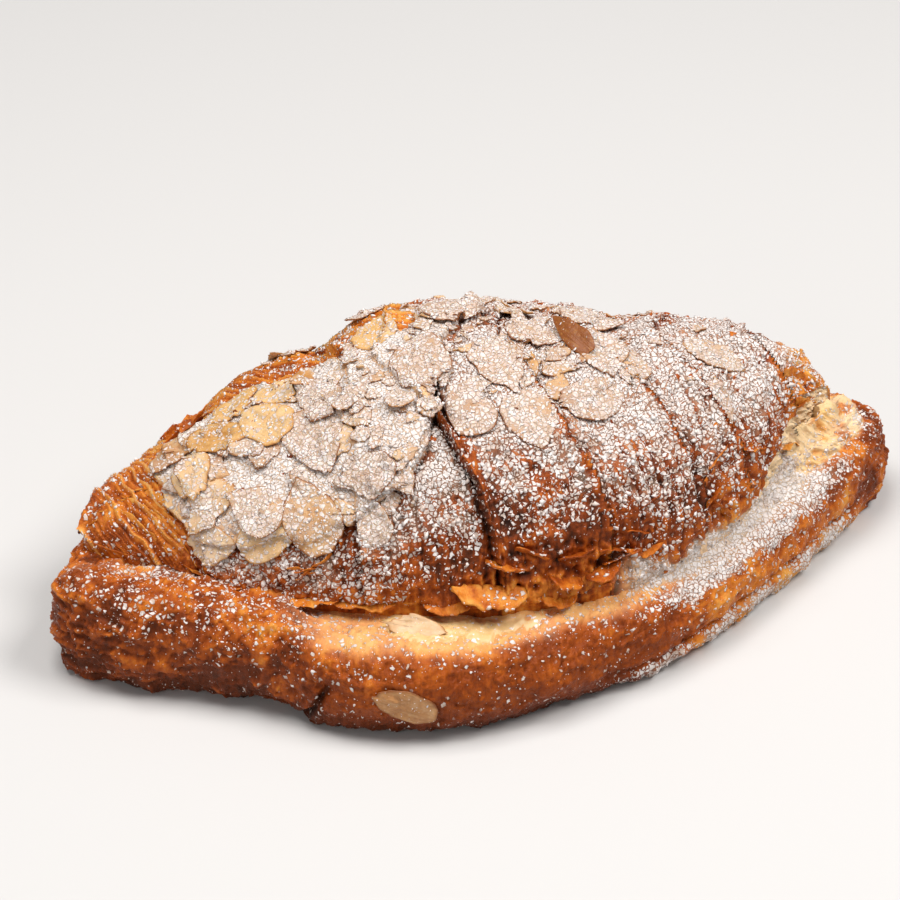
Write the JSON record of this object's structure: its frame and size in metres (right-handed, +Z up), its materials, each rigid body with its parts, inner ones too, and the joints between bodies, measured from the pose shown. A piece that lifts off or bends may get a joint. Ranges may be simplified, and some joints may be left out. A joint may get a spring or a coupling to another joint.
{
  "type": "almond croissant",
  "caption": "Almond croissant split and filled with almond cream, topped with sliced almonds and icing sugar, standing on its flat underside.",
  "frame": {"origin": "middle of the bounding box, at the level of the underside", "axes": "+X along the croissant towards its pointed right tip as seen from the front, -Y to the front where the cream shows, +Z up"},
  "size_m": [0.1701, 0.0906, 0.0576],
  "materials": {
    "crust": "baked, dusted with icing sugar",
    "rim_crust": "baked golden, slightly glossy",
    "almond_cream": "moist, baked",
    "sliced_almond": "toasted, dusted with icing sugar"
  },
  "bodies": {
    "root": {"lower_half": "rim_crust", "almond_cream": "almond_cream", "upper_half": "crust", "almond_01": "sliced_almond", "almond_02": "sliced_almond", "almond_03": "sliced_almond", "almond_04": "sliced_almond", "almond_05": "sliced_almond", "almond_06": "sliced_almond", "almond_07": "sliced_almond", "almond_08": "sliced_almond", "almond_09": "sliced_almond", "almond_10": "sliced_almond", "almond_11": "sliced_almond", "almond_12": "sliced_almond", "almond_13": "sliced_almond", "almond_14": "sliced_almond", "almond_15": "sliced_almond", "almond_16": "sliced_almond", "almond_17": "sliced_almond", "almond_18": "sliced_almond", "almond_19": "sliced_almond", "almond_20": "sliced_almond", "almond_21": "sliced_almond", "almond_22": "sliced_almond", "almond_23": "sliced_almond", "almond_24": "sliced_almond", "almond_25": "sliced_almond", "almond_26": "sliced_almond", "almond_27": "sliced_almond", "almond_28": "sliced_almond", "almond_29": "sliced_almond", "almond_30": "sliced_almond", "almond_31": "sliced_almond", "almond_32": "sliced_almond", "almond_33": "sliced_almond", "cream_almond": "sliced_almond"}
  },
  "joints": []
}
